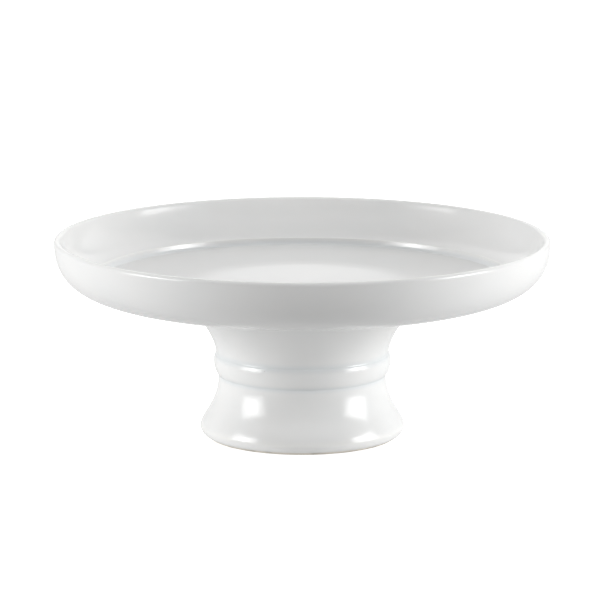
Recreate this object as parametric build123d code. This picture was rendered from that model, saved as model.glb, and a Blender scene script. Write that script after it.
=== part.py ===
"""A footed cake stand in white glazed porcelain: a round dish on a hollow spool-shaped pedestal.

Millimetres, +Z up. The stand is round about the Z axis and stands on Z = 0, so the origin is the
centre of its footprint. Every piece is a section in the XZ half plane, where X is the radius,
turned once about Z. The dish and the pedestal are made apart and joined with a ring of slip.
"""
from build123d import *
from math import cos, radians, sin, tan
import os

# Whole stand
stand_height = 123.8
rim_diameter = 305.0

# Dish: a flat-bottomed well, a small step up to the verge, and a wall that sweeps up to the lip
lip_thickness = 4.6
wall_width = 24.2  # from the outside of the rim in to the verge
wall_drop = 23.0  # from the top of the lip down to the verge
well_step = 4.2  # from the verge down to the floor of the well
floor_thickness = 8.6
step_draft = 0.8  # how far the step leans in from the verge to the floor
verge_round = 1.1
cove_round = 2.4
inner_wall_top_pull = 15.0  # lengths of the handles that shape the two wall curves
inner_wall_foot_pull = 9.0
inner_wall_foot_slope = 17.0  # degrees up from level where the wall leaves the verge
outer_wall_top_pull = 35.7
outer_wall_foot_pull = 28.5
flat_margin = 15.3  # level underside outside the pedestal, before the outer wall starts to rise

# Rib under the dish, which centres the pedestal while the slip sets
rib_height = 1.8
rib_width = 5.5
rib_inset = 4.4  # clearance inside the pedestal's mouth, which narrows below its edge

# Pedestal: rolled foot, waisted skirt, ring bead, and a neck that flares up to the dish
pedestal_wall = 7.0
foot_ring_outer = 57.8
foot_ring_inner = 51.6
foot_radius = 63.15
foot_height = 6.9  # the level at which the foot is widest
foot_edge_rise = 28.0  # degrees at which the foot leaves the table
foot_edge_pull = 2.1
foot_side_pull = 3.6
skirt_foot_pull = 7.4
skirt_neck_pull = 17.5
skirt_lean = 77.0  # degrees up from level where the skirt leaves the foot
lower_neck_radius = 51.65
neck_widening = 1.6  # the neck above the bead is this much larger in radius
bead_bottom = 38.6
bead_height = 13.2
bead_projection = 3.05  # how far the bead stands out from the neck below it
flare_neck_pull = 11.3
flare_top_pull = 12.6
flare_slope = 46.0  # degrees up from level where the flare meets the dish
flare_top_radius = 74.5
lower_crease_round = 1.4
upper_crease_round = 5.0
ring_edge_round = 0.6

# Slip joint: the layer between the two pieces and the small fillet that is sponged into the corners
slip_thickness = 0.8
slip_fillet = 2.4

rim_radius = rim_diameter / 2
verge_radius = rim_radius - wall_width
verge_level = stand_height - wall_drop
floor_level = verge_level - well_step
underside_level = floor_level - floor_thickness
pedestal_height = underside_level - slip_thickness
mouth_radius = flare_top_radius - pedestal_wall
rib_outer = mouth_radius - rib_inset
rib_inner = rib_outer - rib_width
bead_top = bead_bottom + bead_height
upper_neck_radius = lower_neck_radius + neck_widening


def pull(start, length, degrees):
    """The end of a curve handle of this length, leaving start at an angle up from +X."""
    return (start[0] + length * cos(radians(degrees)), start[1] + length * sin(radians(degrees)))


def round_corner(section, point, radius):
    """Round the corner of a section that lies at this point."""
    corner = section.vertices().sort_by_distance(point)[0]
    return fillet(corner, radius)


def turned(section):
    """Turn a section once about the stand's axis."""
    return revolve(Plane.XZ * section, Axis.Z)


def dish():
    """The dish, with its well, step, verge, wall and lip, and the centring rib underneath."""
    floor_edge = (verge_radius - step_draft, floor_level)
    verge = (verge_radius, verge_level)
    lip_inside = (rim_radius - lip_thickness, stand_height)
    lip_outside = (rim_radius, stand_height)
    wall_foot = (flare_top_radius + flat_margin, underside_level)
    rib_level = underside_level - rib_height
    inner_wall = Bezier(
        verge,
        pull(verge, inner_wall_foot_pull, inner_wall_foot_slope),
        pull(lip_inside, inner_wall_top_pull, -90),
        lip_inside,
    )
    outer_wall = Bezier(
        lip_outside,
        pull(lip_outside, outer_wall_top_pull, -90),
        pull(wall_foot, outer_wall_foot_pull, 0),
        wall_foot,
    )
    well = Polyline((0, floor_level), floor_edge, verge)
    underside = Polyline(
        wall_foot,
        (rib_outer, underside_level),
        (rib_outer, rib_level),
        (rib_inner, rib_level),
        (rib_inner, underside_level),
        (0, underside_level),
        (0, floor_level),
    )
    section = make_face(well + inner_wall + Line(lip_inside, lip_outside) + outer_wall + underside)
    full_round = 0.48 * lip_thickness
    section = round_corner(section, lip_inside, full_round)
    section = round_corner(section, lip_outside, full_round)
    section = round_corner(section, verge, verge_round)
    section = round_corner(section, floor_edge, cove_round)
    return turned(section)


def pedestal():
    """The hollow pedestal: its inside follows the outside at the wall's thickness, without the bead."""
    ring_outside = (foot_ring_outer, 0)
    ring_inside = (foot_ring_inner, 0)
    foot = (foot_radius, foot_height)
    lower_neck = (lower_neck_radius, bead_bottom)
    bead = (lower_neck_radius + bead_projection, bead_bottom + bead_height / 2)
    upper_neck = (upper_neck_radius, bead_top)
    mouth_outside = (flare_top_radius, pedestal_height)
    inner_foot = (foot_radius - pedestal_wall, foot_height)
    inner_lower_neck = (lower_neck_radius - pedestal_wall, bead_bottom)
    inner_upper_neck = (upper_neck_radius - pedestal_wall, bead_top)
    mouth_inside = (mouth_radius, pedestal_height)
    edge = Bezier(
        ring_outside,
        pull(ring_outside, foot_edge_pull, foot_edge_rise),
        pull(foot, foot_side_pull, -90),
        foot,
    )
    inner_edge = Bezier(
        inner_foot,
        pull(inner_foot, foot_side_pull, -90),
        pull(ring_inside, foot_edge_pull, foot_edge_rise),
        ring_inside,
    )
    inner_neck = Line(inner_upper_neck, inner_lower_neck)
    outside = edge + skirt(foot, lower_neck) + ThreePointArc(lower_neck, bead, upper_neck)
    outside += flare(upper_neck, mouth_outside) + Line(mouth_outside, mouth_inside)
    inside = flare(inner_upper_neck, mouth_inside) + inner_neck + skirt(inner_foot, inner_lower_neck)
    section = make_face(outside + inside + inner_edge + Line(ring_inside, ring_outside))
    section = round_corner(section, lower_neck, lower_crease_round)
    section = round_corner(section, upper_neck, upper_crease_round)
    section = round_corner(section, ring_inside, ring_edge_round)
    return turned(section)


def skirt(foot, neck):
    """The waisted curve from the widest part of the foot up to the neck under the bead."""
    return Bezier(
        foot,
        pull(foot, skirt_foot_pull, 180 - skirt_lean),
        pull(neck, skirt_neck_pull, -90),
        neck,
    )


def flare(neck, mouth):
    """The curve from the neck above the bead out to the pedestal's mouth."""
    return Bezier(
        neck,
        pull(neck, flare_neck_pull, 90),
        pull(mouth, flare_top_pull, 180 + flare_slope),
        mouth,
    )


def slip_joint(dish_piece, pedestal_piece):
    """The slip between dish and pedestal: a flat layer, with a fillet in the corner on each side."""
    outer_flare = flare((upper_neck_radius, bead_top), (flare_top_radius, pedestal_height))
    on_flare = outer_flare @ (1 - slip_fillet / outer_flare.length)
    corner = (flare_top_radius + slip_thickness / tan(radians(flare_slope)), underside_level)
    on_underside = pull(corner, slip_fillet, 0)
    inner_level = underside_level - slip_fillet
    in_wall = (flare_top_radius - pedestal_wall / 2, inner_level)
    section = make_face(
        Bezier(on_underside, corner, on_flare)
        + Polyline(on_flare, in_wall, (rib_outer, inner_level), (rib_outer, underside_level))
        + Line((rib_outer, underside_level), on_underside)
    )
    return turned(section) - pedestal_piece - dish_piece


dish_piece = dish()
pedestal_piece = pedestal()
pieces = {
    "dish": dish_piece,
    "pedestal": pedestal_piece,
    "slip_joint": slip_joint(dish_piece, pedestal_piece),
}

os.makedirs("parts", exist_ok=True)
for name, shape in pieces.items():
    export_step(shape, f"parts/{name}.step")
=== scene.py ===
"""A footed cake stand in white glazed porcelain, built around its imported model, with its studio.

Metres, +Z up, in the model's own frame: the stand is round about Z and stands on Z = 0. Each piece
is turned from an outline of rings, as on a wheel, and an outline is a list of (radius, height).
"""
from math import atan2, cos, hypot, pi, radians, sin

import bpy
from bpy.props import FloatProperty, PointerProperty, StringProperty
from bpy.types import Operator, Panel, PropertyGroup
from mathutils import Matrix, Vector
from mathutils.geometry import interpolate_bezier


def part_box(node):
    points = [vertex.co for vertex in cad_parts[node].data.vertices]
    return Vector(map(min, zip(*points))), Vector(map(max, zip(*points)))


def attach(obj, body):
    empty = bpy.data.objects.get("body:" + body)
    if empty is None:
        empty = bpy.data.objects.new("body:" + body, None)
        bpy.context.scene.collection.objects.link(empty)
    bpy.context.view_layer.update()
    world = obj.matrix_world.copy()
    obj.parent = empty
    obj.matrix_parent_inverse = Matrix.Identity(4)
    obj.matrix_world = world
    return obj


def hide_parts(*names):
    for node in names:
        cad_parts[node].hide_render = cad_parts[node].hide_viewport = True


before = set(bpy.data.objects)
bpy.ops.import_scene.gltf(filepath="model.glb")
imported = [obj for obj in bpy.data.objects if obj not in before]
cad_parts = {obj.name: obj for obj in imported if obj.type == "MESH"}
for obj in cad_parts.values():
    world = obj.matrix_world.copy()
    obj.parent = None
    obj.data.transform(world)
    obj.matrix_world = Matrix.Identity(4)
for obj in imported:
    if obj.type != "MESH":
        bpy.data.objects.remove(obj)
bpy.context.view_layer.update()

bl_info = {
    "name": "Footed cake stand",
    "version": (1, 0, 0),
    "blender": (4, 5, 0),
    "location": "View3D > Sidebar > Cake stand",
    "description": "Turns the pieces of a porcelain cake stand, glazes them and lights them",
    "category": "Add Mesh",
}

MM = 0.001
MERGE = 0.002 * MM
SAME_POINT = 0.001 * MM
DISH_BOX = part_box("dish")
PEDESTAL_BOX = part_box("pedestal")
UP = pi / 2
DOWN = -pi / 2
WHITE = (1.0, 1.0, 1.0, 1.0)

# How many points each stretch of an outline has, and how many steps each piece is spun in.
BEND_STEPS = 5
LIP_STEPS = 12
WELL_STEPS = 12
SLUMP_STEPS = 16
WALL_STEPS = 18
OUTER_WALL_STEPS = 22
BEAD_STEPS = 16
FOOT_STEPS = 24
INNER_FOOT_STEPS = 5
UNDERSIDE_STEPS = 8
FILLET_STEPS = 8
DISH_SPIN = 128
PEDESTAL_SPIN = 96


def size(label, about, default):
    """A length that a user can set."""
    return FloatProperty(name=label, description=about, default=default, subtype="DISTANCE", unit="LENGTH")


def lean(label, about, default):
    """An angle that a user can set, given in degrees."""
    return FloatProperty(name=label, description=about, default=radians(default), subtype="ANGLE")


def number(label, about, default):
    """A plain number that a user can set."""
    return FloatProperty(name=label, description=about, default=default)


def hex_colour(label, about, default):
    """A colour that a user can set, as an sRGB hex value."""
    return StringProperty(name=label, description=about, default=default)


class DishSizes(PropertyGroup):
    rim_radius: size("Rim radius", "From the axis to the outside of the rim", DISH_BOX[1].x)
    top: size("Top", "Level of the top of the lip", DISH_BOX[1].z)
    lip: size("Lip", "Thickness of the fully rounded lip", 4.6 * MM)
    wall_width: size("Wall width", "From the outside of the rim in to the verge", 24.2 * MM)
    wall_drop: size("Wall drop", "From the top of the lip down to the verge", 23.0 * MM)
    step: size("Step", "From the verge down to the floor of the well", 4.2 * MM)
    draft: size("Step draft", "How far the step leans in from the verge to the floor", 0.8 * MM)
    floor: size("Floor", "Thickness of the floor", 8.6 * MM)
    slump: size("Slump", "How far the middle of the floor sank in the kiln", 2.1 * MM)
    slump_radius: size("Slump radius", "Radius of the sunken middle, over the hollow pedestal", 62.0 * MM)
    verge_round: size("Verge round", "Radius of the glaze over the verge", 0.8 * MM)
    cove_round: size("Cove round", "Radius in the corner of the well", 2.4 * MM)
    inner_top_pull: size("Inner top pull", "Handle of the inner wall at the lip", 15.0 * MM)
    inner_foot_pull: size("Inner foot pull", "Handle of the inner wall at the verge", 9.0 * MM)
    inner_foot_lean: lean("Inner foot lean", "Slope of the inner wall where it leaves the verge", 17.0)
    inner_top_lean: lean("Inner top lean", "Slope of the inner wall where it reaches the lip", 72.0)
    outer_top_pull: size("Outer top pull", "Handle of the outer wall at the lip", 33.4 * MM)
    outer_foot_pull: size("Outer foot pull", "Handle of the outer wall at the underside", 28.5 * MM)
    flat_margin: size("Flat margin", "Level underside outside the pedestal", 15.3 * MM)
    rib_width: size("Rib width", "Width of the centring rib underneath", 5.5 * MM)
    rib_inset: size("Rib inset", "Clearance of the rib inside the pedestal's mouth", 4.4 * MM)
    rib_round: size("Rib round", "Radius of the glaze along the rib", 0.5 * MM)


class PedestalSizes(PropertyGroup):
    top_radius: size("Mouth radius", "Radius at the dish", PEDESTAL_BOX[1].x)
    top: size("Mouth level", "Level of the pedestal's mouth", PEDESTAL_BOX[1].z)
    wall: size("Wall", "Thickness of the cast wall", 7.0 * MM)
    ring_outer: size("Ring outer radius", "Outer radius of the bare foot ring", 57.8 * MM)
    ring_inner: size("Ring inner radius", "Inner radius of the bare foot ring", 51.6 * MM)
    foot_radius: size("Foot radius", "Radius at the widest part of the foot", 63.15 * MM)
    foot_height: size("Foot height", "Level of the widest part of the foot", 6.9 * MM)
    edge_pull: size("Edge pull", "Handle of the foot's edge at the ring", 2.1 * MM)
    side_pull: size("Side pull", "Handle of the foot's edge at its side", 3.6 * MM)
    edge_lean: lean("Edge lean", "Slope at which the foot leaves the table", 28.0)
    skirt_foot_pull: size("Skirt foot pull", "Handle of the skirt at the foot", 7.4 * MM)
    skirt_neck_pull: size("Skirt neck pull", "Handle of the skirt at the neck", 17.5 * MM)
    skirt_lean: lean("Skirt lean", "Slope at which the skirt leaves the foot", 77.0)
    neck_radius: size("Neck radius", "Radius of the neck below the bead", 51.65 * MM)
    neck_widening: size("Neck widening", "How much larger the neck is above the bead", 1.6 * MM)
    bead_bottom: size("Bead level", "Level of the crease below the bead", 38.6 * MM)
    bead_height: size("Bead height", "Height of the bead", 13.2 * MM)
    bead_foot_pull: size("Bead foot pull", "Handle of the bead's curve at the crease below", 4.6 * MM)
    bead_foot_lean: lean("Bead foot lean", "Slope at which the bead leaves the crease below", 45.0)
    bead_top_pull: size("Bead top pull", "Handle of the bead's curve at the crease above", 2.7 * MM)
    bead_top_lean: lean("Bead top lean", "Slope of the bead's shoulder at the crease above", 30.0)
    lower_crease: size("Lower crease", "Radius of the crease below the bead", 1.4 * MM)
    upper_crease: size("Upper crease", "Radius of the crease above the bead", 1.8 * MM)
    flare_neck_pull: size("Flare neck pull", "Handle of the flare at the neck", 11.3 * MM)
    flare_top_pull: size("Flare top pull", "Handle of the flare at the mouth", 12.6 * MM)
    flare_lean: lean("Flare lean", "Slope at which the flare meets the dish", 46.0)
    glaze_stop: size("Glaze stop", "Height at which the glaze ends above the table", 1.9 * MM)
    roll_width: size("Glaze roll", "Width of the roll in which the glaze ends", 2.6 * MM)
    roll_height: size("Glaze roll height", "How far that roll stands out", 0.12 * MM)
    slip_fillet: size("Slip fillet", "Size of the fillet of slip in the corner under the dish", 2.4 * MM)


class Finish(PropertyGroup):
    glaze: hex_colour("Glaze", "Clear glaze over the white body", "#EDEDEC")
    # Darker and blue-grey: glaze run thick in random patches, and in creases and corners, where it is also
    # painted shade.
    pooled_glaze_and_shade: hex_colour("Pooled glaze", "Where the glaze has run thick, in creases and corners", "#E4E7E8")
    thin: hex_colour("Thin glaze", "Where the glaze has drawn off an edge", "#EFEFED")
    bare: hex_colour("Bare body", "Fired body without glaze, on the foot ring", "#DDD8CE")
    pinhole: hex_colour("Pinhole", "Tiny holes in the glaze", "#C9C6C0")
    rubbed: hex_colour("Rubbed body", "The foot ring where it has been stood and slid", "#BDB8AF")
    table: hex_colour("Table", "The studio's floor", "#FAFAFA")
    bounce: hex_colour("Table bounce", "What the floor throws back up at the stand", "#909090")
    velvet: hex_colour("Velvet", "The velvet behind the camera", "#0A0A0A")


class Studio(PropertyGroup):
    camera_back: size("Camera distance", "From the stand's axis to the camera", 2.5)
    camera_height: size("Camera height", "From the table to the camera", 0.5684)
    camera_dip: lean("Camera dip", "How far the camera looks down", 10.954)
    lens: number("Lens", "Focal length, in millimetres", 248.1)
    sensor: number("Sensor", "Width of the camera's sensor, in millimetres", 36.0)
    aside: number("Aside", "Shift of the lens to one side", -0.0038)
    table_width: size("Table width", "Width of the white sheet", 16.0)
    table_glow: number("Table glow", "Light that the camera sees from under the table", 0.62)
    bounce_glow: number("Bounce glow", "Light that the table adds to its bounce", 0.50)
    front_glow: number("Front glow", "The same, at the front of the table", 0.26)
    glow_from: size("Glow from", "Where the front glow ends, in front of the axis", 0.20)
    glow_to: size("Glow to", "Where the full glow starts, in front of the axis", 0.06)
    room: number("Room", "Strength of the light from all round", 0.63)
    lit_height: size("Lit height", "Height of the point that the lights face", 0.06)
    velvet_back: size("Velvet distance", "From the stand's axis to the velvet behind the camera", 2.6)
    velvet_width: size("Velvet width", "Width of the velvet", 8.0)
    velvet_height: size("Velvet height", "Height of the velvet, up from the table", 4.0)


def linear(hex_value):
    """An sRGB hex colour as the linear colour that a shader takes."""
    parts = [int(hex_value[i:i + 2], 16) / 255 for i in (1, 3, 5)]
    return tuple(p / 12.92 if p <= 0.04045 else ((p + 0.055) / 1.055) ** 2.4 for p in parts) + (1.0,)


# Outlines


def pull(start, length, angle):
    """The end of a curve handle of this length, leaving start at an angle up from level."""
    return (start[0] + length * cos(angle), start[1] + length * sin(angle))


def curve(start, start_handle, end_handle, end, steps):
    """The points of a smooth curve between two points, with both its ends."""
    corners = [Vector((x, z, 0)) for x, z in (start, start_handle, end_handle, end)]
    return [(p.x, p.y) for p in interpolate_bezier(*corners, steps + 1)]


def arc(centre, radius, first, last, steps):
    """The points of an arc about centre, from one angle to another."""
    turns = [first + (last - first) * i / steps for i in range(steps + 1)]
    return [(centre[0] + radius * cos(t), centre[1] + radius * sin(t)) for t in turns]


def rounded(before, corner, after, radius, steps):
    """The points that round a corner between two straight or nearly straight runs."""
    into = (Vector(before) - Vector(corner)).normalized()
    out = (Vector(after) - Vector(corner)).normalized()
    half = into.angle(out) / 2
    reach = radius / (sin(half) / cos(half))
    start, end = Vector(corner) + into * reach, Vector(corner) + out * reach
    centre = Vector(corner) + (into + out).normalized() * (radius / sin(half))
    first = atan2(start.y - centre.y, start.x - centre.x)
    turn = (atan2(end.y - centre.y, end.x - centre.x) - first + pi) % (2 * pi) - pi
    return arc(centre, radius, first, first + turn, steps)


def beyond(run, corner, distance):
    """The points of a run that are farther than this from a corner."""
    return [p for p in run if hypot(p[0] - corner[0], p[1] - corner[1]) > distance]


def round_corners(runs, radii):
    """Join runs of points end to end, and round the corner after each run whose radius isn't 0."""
    outline = list(runs[0])
    for run, radius in zip(runs[1:], radii):
        if not radius:
            outline += run[1:]
            continue
        corner = run[0]
        before = beyond(outline, corner, SAME_POINT)
        after = beyond(run, corner, SAME_POINT)
        bend = rounded(before[-1], corner, after[0], radius, BEND_STEPS)
        reach = max(hypot(p[0] - corner[0], p[1] - corner[1]) for p in (bend[0], bend[-1]))
        clear = reach + 0.06 * radius
        outline = beyond(before, corner, clear) + bend + beyond(after, corner, clear)
    return outline


def dish_outline(s, p):
    """From the middle of the well out to the lip, and back under the dish to the middle."""
    verge = (s.rim_radius - s.wall_width, s.top - s.wall_drop)
    floor_level = verge[1] - s.step
    under = floor_level - s.floor
    floor_edge = (verge[0] - s.draft, floor_level)
    lip_centre = (s.rim_radius - s.lip / 2, s.top - s.lip / 2)
    lip = arc(lip_centre, s.lip / 2, UP + s.inner_top_lean, 0, LIP_STEPS)
    lip_inside, lip_outside = lip[0], lip[-1]
    wall_foot = (p.top_radius + s.flat_margin, under)
    rib_outer = p.top_radius - p.wall - s.rib_inset
    rib_inner = rib_outer - s.rib_width
    rib_level = DISH_BOX[0].z
    shares = [i / SLUMP_STEPS for i in range(SLUMP_STEPS)]
    sunk = [(s.slump_radius * share, floor_level - s.slump * (1 - share**2)) for share in shares]
    # Past the sunken middle the floor is level again, after a short gap that rounds the change off.
    level_from = 1.06 * s.slump_radius
    level_width = floor_edge[0] - level_from
    level = [(level_from + level_width * i / WELL_STEPS, floor_level) for i in range(WELL_STEPS + 1)]
    step = [floor_edge, verge]
    inner_wall = curve(
        verge,
        pull(verge, s.inner_foot_pull, s.inner_foot_lean),
        pull(lip_inside, s.inner_top_pull - s.lip / 2, pi + s.inner_top_lean),
        lip_inside,
        WALL_STEPS,
    )
    outer_wall = curve(
        lip_outside,
        pull(lip_outside, s.outer_top_pull, DOWN),
        pull(wall_foot, s.outer_foot_pull, 0),
        wall_foot,
        OUTER_WALL_STEPS,
    )
    # Two rings close to the pedestal's mouth keep the underside flat where the slip meets it.
    beside = 4 * MM
    flat = [wall_foot, (p.top_radius + beside, under), (p.top_radius - beside, under), (rib_outer, under)]
    rib = [(rib_outer, under), (rib_outer, rib_level)]
    rib_face = [(rib_outer, rib_level), (rib_inner, rib_level)]
    rib_back = [(rib_inner, rib_level), (rib_inner, under)]
    middle = [(rib_inner * (1 - i / UNDERSIDE_STEPS), under) for i in range(UNDERSIDE_STEPS + 1)]
    runs = [sunk + level, step, inner_wall, lip, outer_wall, flat, rib, rib_face, rib_back, middle]
    return round_corners(runs, [s.cove_round, s.verge_round, 0, 0, 0] + 4 * [s.rib_round])


def skirt(p, foot, neck):
    """The waisted curve from the widest part of the foot up to the neck under the bead."""
    foot_handle = pull(foot, p.skirt_foot_pull, pi - p.skirt_lean)
    neck_handle = pull(neck, p.skirt_neck_pull, DOWN)
    return curve(foot, foot_handle, neck_handle, neck, WALL_STEPS)


def flare(p, neck, mouth):
    """The curve from the neck above the bead out to the pedestal's mouth."""
    neck_handle = pull(neck, p.flare_neck_pull, UP)
    mouth_handle = pull(mouth, p.flare_top_pull, pi + p.flare_lean)
    return curve(neck, neck_handle, mouth_handle, mouth, WALL_STEPS)


def glaze_roll(p, z):
    """How far the glaze stands out at this height, where it gathered in a roll before it stopped."""
    up = (z - p.glaze_stop) / p.roll_width
    return p.roll_height * sin(pi * up) if 0 < up < 1 else 0


def pedestal_outline(p):
    """From the foot ring up the outside, over the mouth, and down the inside to the ring again."""
    ring_outside = (p.ring_outer, 0)
    ring_inside = (p.ring_inner, 0)
    foot = (p.foot_radius, p.foot_height)
    lower_neck = (p.neck_radius, p.bead_bottom)
    upper_neck = (p.neck_radius + p.neck_widening, p.bead_bottom + p.bead_height)
    mouth = (p.top_radius, p.top)
    inner_foot, inner_lower, inner_upper, inner_mouth = [
        (radius - p.wall, height) for radius, height in (foot, lower_neck, upper_neck, mouth)
    ]
    plain_edge = curve(
        ring_outside,
        pull(ring_outside, p.edge_pull, p.edge_lean),
        pull(foot, p.side_pull, DOWN),
        foot,
        FOOT_STEPS,
    )
    edge = [(radius + glaze_roll(p, height), height) for radius, height in plain_edge]
    bead = curve(
        lower_neck,
        pull(lower_neck, p.bead_foot_pull, p.bead_foot_lean),
        pull(upper_neck, p.bead_top_pull, -p.bead_top_lean),
        upper_neck,
        BEAD_STEPS,
    )
    inner_edge = curve(
        inner_foot,
        pull(inner_foot, p.side_pull, DOWN),
        pull(ring_inside, p.edge_pull, p.edge_lean),
        ring_inside,
        INNER_FOOT_STEPS,
    )
    runs = [
        edge,
        skirt(p, foot, lower_neck),
        bead,
        flare(p, upper_neck, mouth),
        [mouth, inner_mouth],
        flare(p, inner_upper, inner_mouth)[::-1],
        [inner_upper, inner_lower],
        skirt(p, inner_foot, inner_lower)[::-1],
        inner_edge,
    ]
    return round_corners(runs, [0, p.lower_crease, p.upper_crease, 0, 0, 0, 0, 0])


def slip_outline(s, p):
    """The ring of slip between the two pieces, with its fillet in the corner under the dish."""
    under = s.top - s.wall_drop - s.step - s.floor
    slope = (cos(p.flare_lean), sin(p.flare_lean))
    gap = under - p.top
    corner = (p.top_radius + gap * slope[0] / slope[1], under)
    on_flare = (p.top_radius - p.slip_fillet * slope[0], p.top - p.slip_fillet * slope[1])
    on_dish = (corner[0] + p.slip_fillet, under)
    fillet = curve(on_flare, corner, corner, on_dish, FILLET_STEPS)
    rib = p.top_radius - p.wall - s.rib_inset
    inner_level = under - p.slip_fillet
    back = [on_dish, (rib, under)]
    inside = [(rib, under), (rib, inner_level)]
    bottom = [(rib, inner_level), on_flare]
    return round_corners([fillet, back, inside, bottom], [0, 0, 0])[:-1]


# Modelling


def only(piece):
    """Make this the one selected and active object."""
    bpy.ops.object.select_all(action="DESELECT")
    piece.select_set(True)
    bpy.context.view_layer.objects.active = piece


def turn_outline(name, outline, segments, closed):
    """Turn an outline into a piece: one point, drawn out along the outline, and spun round the axis.

    A closed outline joins its last point to its first. An open one starts and ends on the axis.
    """
    bpy.ops.object.select_all(action="DESELECT")
    radius, height = outline[0]
    bpy.ops.mesh.primitive_plane_add(size=1 * MM, location=(radius, 0, height))
    piece = bpy.context.object
    piece.name = name
    piece.data.name = name
    bpy.ops.object.transform_apply(location=True)
    bpy.ops.object.mode_set(mode="EDIT")
    bpy.ops.mesh.select_mode(type="VERT")
    bpy.ops.mesh.select_all(action="SELECT")
    bpy.ops.mesh.merge(type="CENTER")
    points = outline[1:] + outline[:1] if closed else outline[1:]
    for next_radius, next_height in points:
        step = (next_radius - radius, 0, next_height - height)
        bpy.ops.mesh.extrude_vertices_move(TRANSFORM_OT_translate={"value": step})
        radius, height = next_radius, next_height
    bpy.ops.mesh.select_all(action="SELECT")
    bpy.ops.mesh.spin(steps=segments, angle=2 * pi, center=(0, 0, 0), axis=(0, 0, 1))
    bpy.ops.mesh.select_all(action="SELECT")
    bpy.ops.mesh.remove_doubles(threshold=MERGE)
    bpy.ops.mesh.normals_make_consistent(inside=False)
    bpy.ops.object.mode_set(mode="OBJECT")
    bpy.ops.object.shade_smooth()
    return piece


def smooth_rings(piece):
    """Round the turned rings off with a subdivision surface, and apply it."""
    only(piece)
    bpy.ops.object.modifier_add(type="SUBSURF")
    modifier = piece.modifiers[-1]
    modifier.levels = 1
    modifier.render_levels = 1
    bpy.ops.object.modifier_apply(modifier=modifier.name)
    bpy.ops.object.shade_smooth()


def paint_faces_below(piece, height, material_index):
    """Give the faces below this height another of the piece's materials."""
    only(piece)
    bpy.ops.object.mode_set(mode="EDIT")
    bpy.ops.mesh.select_mode(type="FACE")
    bpy.ops.mesh.select_all(action="DESELECT")
    bpy.ops.object.mode_set(mode="OBJECT")
    for face in piece.data.polygons:
        face.select = face.center.z < height
    bpy.ops.object.mode_set(mode="EDIT")
    piece.active_material_index = material_index
    bpy.ops.object.material_slot_assign()
    bpy.ops.object.mode_set(mode="OBJECT")


# Finishes


# Where a colour mix node keeps its amount and its two colours, and where it gives its result.
MIX_AMOUNT = 0
MIX_FIRST = 6
MIX_SECOND = 7
MIX_RESULT = 2


def add_node(tree, kind, settings=None, links=None):
    """Add a node, set its own attributes and sockets by name, and link its inputs."""
    node = tree.nodes.new(kind)
    for key, value in (settings or {}).items():
        if isinstance(key, int) or key in node.inputs:
            node.inputs[key].default_value = value
        else:
            setattr(node, key, value)
    for key, source in (links or {}).items():
        tree.links.new(source, node.inputs[key])
    return node


def new_material(name):
    """An empty material, and its tree of nodes."""
    material = bpy.data.materials.new(name)
    material.use_nodes = True
    material.node_tree.nodes.clear()
    return material, material.node_tree


def band(tree, value, middle, half_width):
    """A mask that is 1 where the value is at middle, and fades out half_width away."""
    off = add_node(tree, "ShaderNodeMath", {"operation": "SUBTRACT", 1: middle}, {0: value})
    away = add_node(tree, "ShaderNodeMath", {"operation": "ABSOLUTE"}, {0: off.outputs[0]})
    mask = add_node(
        tree,
        "ShaderNodeMapRange",
        {"interpolation_type": "SMOOTHSTEP", "From Min": half_width, "From Max": 0.0},
        {"Value": away.outputs[0]},
    )
    return mask.outputs["Result"]


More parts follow.
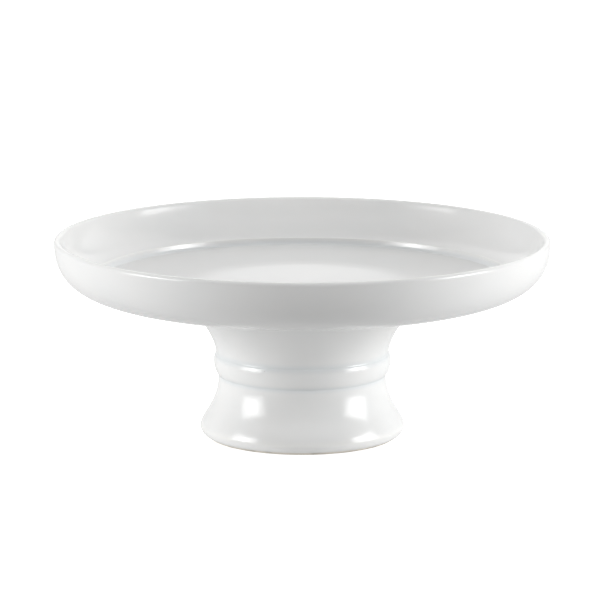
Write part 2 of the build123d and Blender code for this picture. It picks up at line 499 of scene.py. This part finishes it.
def glazed_porcelain(finish, creases, edges):
    """Clear gloss glaze over a slip-cast white porcelain body, fired: even cool white, wet shine.

    The glaze runs thick and faintly blue-grey in random patches and in creases, draws thin and warmer
    off edges, and has the slight waviness of a fired glaze, with a few pinholes. In the creases the
    darker colour is also painted shade. Creases and edges are rings about the axis, each a radius, a
    height and how far its effect reaches.
    """
    material, tree = new_material("glazed_porcelain")
    place = add_node(tree, "ShaderNodeTexCoord").outputs["Object"]
    parts = add_node(tree, "ShaderNodeSeparateXYZ", None, {"Vector": place})
    across = add_node(
        tree, "ShaderNodeCombineXYZ", None, {"X": parts.outputs["X"], "Y": parts.outputs["Y"]}
    ).outputs[0]
    radius = add_node(tree, "ShaderNodeVectorMath", {"operation": "LENGTH"}, {0: across}).outputs["Value"]
    # The glaze is a little thicker and shinier in some places than in others, some 55 mm apart.
    cloud = add_node(
        tree, "ShaderNodeTexNoise", {"Scale": 1 / (55 * MM), "Detail": 2.0}, {"Vector": place}
    ).outputs["Fac"]
    faint = add_node(
        tree, "ShaderNodeMapRange", {"From Min": 0.35, "From Max": 0.75, "To Max": 0.3}, {"Value": cloud}
    ).outputs["Result"]
    colours = {"data_type": "RGBA", MIX_FIRST: linear(finish.glaze), MIX_SECOND: linear(finish.pooled_glaze_and_shade)}
    colour = add_node(tree, "ShaderNodeMix", colours, {MIX_AMOUNT: faint}).outputs[MIX_RESULT]
    # Creases get the darker thick-glaze colour, which there is also painted shade; edges get the thin glaze
    # colour.
    tinted_and_shaded_rings = [(ring, linear(finish.pooled_glaze_and_shade)) for ring in creases]
    tinted_and_shaded_rings += [(ring, linear(finish.thin)) for ring in edges]
    for (ring_radius, ring_height, reach), tint in tinted_and_shaded_rings:
        near_radius = band(tree, radius, ring_radius, reach)
        near_height = band(tree, parts.outputs["Z"], ring_height, reach)
        on_ring = add_node(
            tree, "ShaderNodeMath", {"operation": "MULTIPLY"}, {0: near_radius, 1: near_height}
        ).outputs[0]
        colour = add_node(
            tree,
            "ShaderNodeMix",
            {"data_type": "RGBA", MIX_SECOND: tint},
            {MIX_AMOUNT: on_ring, MIX_FIRST: colour},
        ).outputs[MIX_RESULT]
    # Pinholes some 26 mm apart. Real ones are about 0.4 mm across, and are drawn twice as wide to show.
    hole_spacing = 26 * MM
    hole_radius = 0.416 * MM
    hole_floor = 0.156 * MM
    cells = add_node(
        tree, "ShaderNodeTexVoronoi", {"Scale": 1 / hole_spacing, "Randomness": 1.0}, {"Vector": place}
    ).outputs["Distance"]
    pinhole = add_node(
        tree,
        "ShaderNodeMapRange",
        {
            "interpolation_type": "SMOOTHSTEP",
            "From Min": hole_radius / hole_spacing,
            "From Max": hole_floor / hole_spacing,
        },
        {"Value": cells},
    ).outputs["Result"]
    colour = add_node(
        tree,
        "ShaderNodeMix",
        {"data_type": "RGBA", MIX_SECOND: linear(finish.pinhole)},
        {MIX_AMOUNT: pinhole, MIX_FIRST: colour},
    ).outputs[MIX_RESULT]
    # The waviness of a fired glaze, about 9 mm from crest to crest.
    wave = add_node(
        tree, "ShaderNodeTexNoise", {"Scale": 1 / (9 * MM), "Detail": 1.0}, {"Vector": place}
    ).outputs["Fac"]
    dented = add_node(
        tree, "ShaderNodeMath", {"operation": "MULTIPLY_ADD", 1: -0.6}, {0: pinhole, 2: wave}
    ).outputs[0]
    surface = add_node(
        tree, "ShaderNodeBump", {"Strength": 0.35, "Distance": 0.05 * MM}, {"Height": dented}
    ).outputs["Normal"]
    gloss = add_node(
        tree, "ShaderNodeMapRange", {"To Min": 0.13, "To Max": 0.17}, {"Value": cloud}
    ).outputs["Result"]
    shader = add_node(
        tree,
        "ShaderNodeBsdfPrincipled",
        {
            "IOR": 1.52,
            "Subsurface Weight": 0.08,
            "Subsurface Radius": (1.0, 0.95, 0.9),
            "Subsurface Scale": 1 * MM,
        },
        {"Base Color": colour, "Roughness": gloss, "Normal": surface},
    )
    add_node(tree, "ShaderNodeOutputMaterial", None, {"Surface": shader.outputs["BSDF"]})
    return material


def bare_porcelain(finish):
    """Fired porcelain without glaze, wiped clean before firing: matte, fine-grained, warm off-white.

    The ring that it stands on is rubbed grey in patches by tables and shelves.
    """
    material, tree = new_material("bare_porcelain")
    place = add_node(tree, "ShaderNodeTexCoord").outputs["Object"]
    # Real grain is about 0.05 mm, too fine to show, so it is drawn at 0.5 mm.
    grain = add_node(
        tree, "ShaderNodeTexNoise", {"Scale": 1 / (0.5 * MM), "Detail": 3.0}, {"Vector": place}
    ).outputs["Fac"]
    # Rubbed patches are some 8 mm across.
    patches = add_node(
        tree, "ShaderNodeTexNoise", {"Scale": 1 / (8 * MM), "Detail": 4.0}, {"Vector": place}
    ).outputs["Fac"]
    rubbed = add_node(
        tree, "ShaderNodeMapRange", {"From Min": 0.48, "From Max": 0.66, "To Max": 0.8}, {"Value": patches}
    ).outputs["Result"]
    colours = {"data_type": "RGBA", MIX_FIRST: linear(finish.bare), MIX_SECOND: linear(finish.rubbed)}
    colour = add_node(tree, "ShaderNodeMix", colours, {MIX_AMOUNT: rubbed}).outputs[MIX_RESULT]
    surface = add_node(
        tree, "ShaderNodeBump", {"Strength": 0.5, "Distance": 0.03 * MM}, {"Height": grain}
    ).outputs["Normal"]
    shader = add_node(
        tree,
        "ShaderNodeBsdfPrincipled",
        {"IOR": 1.5, "Roughness": 0.72},
        {"Base Color": colour, "Normal": surface},
    )
    add_node(tree, "ShaderNodeOutputMaterial", None, {"Surface": shader.outputs["BSDF"]})
    return material


def finish_piece(piece, material):
    """Give a piece its material, and let it ride on the stand."""
    piece.data.materials.clear()
    piece.data.materials.append(material)
    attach(piece, "root")


# Operators


class STAND_OT_dish(Operator):
    """Turn the dish, with its well, verge, wall and lip"""

    bl_idname = "stand.dish"
    bl_label = "Dish"

    def execute(self, context):
        scene = context.scene
        s = scene.dish_sizes
        piece = turn_outline("dish_glazed", dish_outline(s, scene.pedestal_sizes), DISH_SPIN, closed=False)
        smooth_rings(piece)
        verge_radius, verge_level = s.rim_radius - s.wall_width, s.top - s.wall_drop
        # The well's cove is painted darker: thick glaze, and painted shade in the corner.
        creases = [(verge_radius - s.draft, verge_level - s.step, 3.5 * MM)]
        edges = [(s.rim_radius - s.lip / 2, s.top, 2.5 * MM), (verge_radius, verge_level, 1.5 * MM)]
        finish_piece(piece, glazed_porcelain(scene.stand_finish, creases, edges))
        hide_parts("dish")
        return {"FINISHED"}


class STAND_OT_pedestal(Operator):
    """Turn the hollow pedestal, with its foot, skirt, bead and flare"""

    bl_idname = "stand.pedestal"
    bl_label = "Pedestal"

    def execute(self, context):
        scene = context.scene
        p = scene.pedestal_sizes
        piece = turn_outline("pedestal_glazed", pedestal_outline(p), PEDESTAL_SPIN, closed=True)
        smooth_rings(piece)
        bead_top = p.bead_bottom + p.bead_height
        # The creases below and above the bead are painted darker: thick glaze, and painted shade in the
        # creases.
        creases = [
            (p.neck_radius, p.bead_bottom, 3.0 * MM),
            (p.neck_radius + p.neck_widening, bead_top, 4.0 * MM),
        ]
        edges = [(p.foot_radius, p.foot_height, 3.0 * MM)]
        finish_piece(piece, glazed_porcelain(scene.stand_finish, creases, edges))
        piece.data.materials.append(bare_porcelain(scene.stand_finish))
        paint_faces_below(piece, p.glaze_stop, material_index=1)
        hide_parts("pedestal")
        return {"FINISHED"}


class STAND_OT_slip_joint(Operator):
    """Turn the ring of slip that joins the two"""

    bl_idname = "stand.slip_joint"
    bl_label = "Slip joint"

    def execute(self, context):
        scene = context.scene
        outline = slip_outline(scene.dish_sizes, scene.pedestal_sizes)
        piece = turn_outline("slip_joint_glazed", outline, PEDESTAL_SPIN, closed=True)
        finish_piece(piece, glazed_porcelain(scene.stand_finish, [], []))
        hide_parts("slip_joint")
        return {"FINISHED"}


def aim(spot, target):
    """The rotation that points a lamp or a camera at spot towards target."""
    return (Vector(target) - Vector(spot)).to_track_quat("-Z", "Y").to_euler()


def soft_light(name, lit_height, azimuth, elevation, distance, width, height, watts):
    """A rectangular soft light that faces the stand. Azimuth 0 is the camera's side, 90 its right."""
    turn, rise = radians(azimuth), radians(elevation)
    target = Vector((0, 0, lit_height))
    spot = target + distance * Vector((sin(turn) * cos(rise), -cos(turn) * cos(rise), sin(rise)))
    bpy.ops.object.light_add(type="AREA", location=spot, rotation=aim(spot, target))
    lamp = bpy.context.object
    lamp.name = name
    lamp.data.shape = "RECTANGLE"
    lamp.data.size = width
    lamp.data.size_y = height
    lamp.data.energy = watts
    lamp.visible_camera = False


# Azimuth and elevation in degrees, distance, width and height in metres, and watts. A softbox is
# brightest in its middle, so each is three sheets of light, one behind the other.
SOFT_LIGHTS = {
    "left_softbox_core": (-69, 14, 1.38, 0.14, 0.28, 1.1),
    "left_softbox": (-69, 14, 1.40, 0.34, 0.52, 2.1),
    "left_softbox_edge": (-69, 14, 1.42, 0.80, 0.74, 8.2),
    "right_softbox_core": (76, 14, 1.38, 0.14, 0.28, 1.3),
    "right_softbox": (76, 14, 1.40, 0.34, 0.52, 2.4),
    "right_softbox_edge": (76, 14, 1.42, 0.80, 0.74, 9.6),
    "back_scrim": (180, 28, 2.2, 1.6, 1.7, 6.2),
    "back_left_scrim": (-140, 34, 1.8, 0.9, 1.3, 0.9),
    "back_right_scrim": (140, 34, 1.8, 0.9, 1.3, 2.3),
}


def white_acrylic_sheet(finish, studio):
    """Cast white acrylic sheet, sanded matte and lit from below, which gives an even white.

    The camera sees it full white. What it throws back at the stand is dimmer, as off a sheet that
    the stand shades, and dimmest in front, where its own light fades out.
    """
    material, tree = new_material("white_acrylic_sheet")
    sheet = add_node(
        tree,
        "ShaderNodeBsdfPrincipled",
        {
            "Base Color": linear(finish.table),
            "Roughness": 0.9,
            "Emission Color": WHITE,
            "Emission Strength": studio.table_glow,
            "Specular IOR Level": 0.0,
        },
    )
    place = add_node(tree, "ShaderNodeTexCoord").outputs["Object"]
    parts = add_node(tree, "ShaderNodeSeparateXYZ", None, {"Vector": place})
    glow = add_node(
        tree,
        "ShaderNodeMapRange",
        {
            "interpolation_type": "SMOOTHSTEP",
            "From Min": -studio.glow_from,
            "From Max": -studio.glow_to,
            "To Min": studio.front_glow,
            "To Max": studio.bounce_glow,
        },
        {"Value": parts.outputs["Y"]},
    ).outputs["Result"]
    dimmer = add_node(
        tree,
        "ShaderNodeBsdfPrincipled",
        {
            "Base Color": linear(finish.bounce),
            "Roughness": 0.9,
            "Emission Color": WHITE,
            "Specular IOR Level": 0.0,
        },
        {"Emission Strength": glow},
    )
    seen = add_node(tree, "ShaderNodeLightPath").outputs["Is Camera Ray"]
    mix = add_node(tree, "ShaderNodeMixShader", None, {0: seen, 1: dimmer.outputs[0], 2: sheet.outputs[0]})
    add_node(tree, "ShaderNodeOutputMaterial", None, {"Surface": mix.outputs[0]})
    return material


def black_cotton_velvet(finish):
    """Black cotton velvet: it throws back next to nothing, with a faint sheen along the pile."""
    material, tree = new_material("black_cotton_velvet")
    shader = add_node(
        tree,
        "ShaderNodeBsdfPrincipled",
        {
            "Base Color": linear(finish.velvet),
            "Roughness": 1.0,
            "Sheen Weight": 0.1,
            "Specular IOR Level": 0.1,
        },
    )
    add_node(tree, "ShaderNodeOutputMaterial", None, {"Surface": shader.outputs["BSDF"]})
    return material


def studio_room(strength):
    """Even light from all round, which the camera sees as plain white."""
    world = bpy.data.worlds.new("studio_room")
    world.use_nodes = True
    tree = world.node_tree
    tree.nodes.clear()
    room = add_node(tree, "ShaderNodeBackground", {"Color": WHITE, "Strength": strength})
    backdrop = add_node(tree, "ShaderNodeBackground", {"Color": WHITE, "Strength": 1.0})
    seen = add_node(tree, "ShaderNodeLightPath").outputs["Is Camera Ray"]
    mix = add_node(tree, "ShaderNodeMixShader", None, {0: seen, 1: room.outputs[0], 2: backdrop.outputs[0]})
    add_node(tree, "ShaderNodeOutputWorld", None, {"Surface": mix.outputs[0]})
    return world


class STAND_OT_studio(Operator):
    """Lay the white table, hang the velvet, set the soft lights and place the camera"""

    bl_idname = "stand.studio"
    bl_label = "Studio"

    def execute(self, context):
        scene = context.scene
        finish = scene.stand_finish
        studio = scene.stand_studio
        bpy.ops.object.select_all(action="DESELECT")
        bpy.ops.mesh.primitive_plane_add(size=studio.table_width, location=(0, 0, 0))
        table = context.object
        table.name = "table"
        table.data.materials.append(white_acrylic_sheet(finish, studio))
        for name, place in SOFT_LIGHTS.items():
            soft_light(name, studio.lit_height, *place)
        hung = (0, -studio.velvet_back, studio.velvet_height / 2)
        bpy.ops.mesh.primitive_plane_add(size=1, location=hung, rotation=(pi / 2, 0, 0))
        velvet = context.object
        velvet.name = "velvet_behind_camera"
        spread = (studio.velvet_width, 1, studio.velvet_height)
        bpy.ops.transform.resize(value=spread, center_override=hung)
        velvet.data.materials.append(black_cotton_velvet(finish))
        scene.world = studio_room(studio.room)
        bpy.ops.object.camera_add(
            location=(0, -studio.camera_back, studio.camera_height),
            rotation=(pi / 2 - studio.camera_dip, 0, 0),
        )
        camera = context.object
        camera.name = "camera"
        camera.data.sensor_width = studio.sensor
        camera.data.lens = studio.lens
        camera.data.shift_x = studio.aside
        camera.data.clip_end = 2 * studio.table_width
        scene.camera = camera
        scene.view_settings.view_transform = "Standard"
        return {"FINISHED"}


class STAND_PT_panel(Panel):
    """The steps that make the cake stand, in order"""

    bl_label = "Cake stand"
    bl_idname = "STAND_PT_panel"
    bl_space_type = "VIEW_3D"
    bl_region_type = "UI"
    bl_category = "Cake stand"

    def draw(self, context):
        for operator in STEPS:
            self.layout.operator(operator.bl_idname)
        for group in PROPERTY_GROUPS:
            settings = getattr(context.scene, group)
            box = self.layout.box()
            for name in settings.bl_rna.properties.keys():
                if name not in ("rna_type", "name"):
                    box.prop(settings, name)


STEPS = (STAND_OT_studio, STAND_OT_dish, STAND_OT_pedestal, STAND_OT_slip_joint)
PROPERTY_GROUPS = {
    "dish_sizes": DishSizes,
    "pedestal_sizes": PedestalSizes,
    "stand_finish": Finish,
    "stand_studio": Studio,
}


def register():
    for group in PROPERTY_GROUPS.values():
        bpy.utils.register_class(group)
    for name, group in PROPERTY_GROUPS.items():
        setattr(bpy.types.Scene, name, PointerProperty(type=group))
    for cls in (*STEPS, STAND_PT_panel):
        bpy.utils.register_class(cls)


def unregister():
    for cls in (*STEPS, STAND_PT_panel):
        bpy.utils.unregister_class(cls)
    for name, group in PROPERTY_GROUPS.items():
        delattr(bpy.types.Scene, name)
        bpy.utils.unregister_class(group)


def main():
    register()
    bpy.ops.stand.studio()
    bpy.ops.stand.dish()
    bpy.ops.stand.pedestal()
    bpy.ops.stand.slip_joint()


if __name__ == "__main__":
    main()
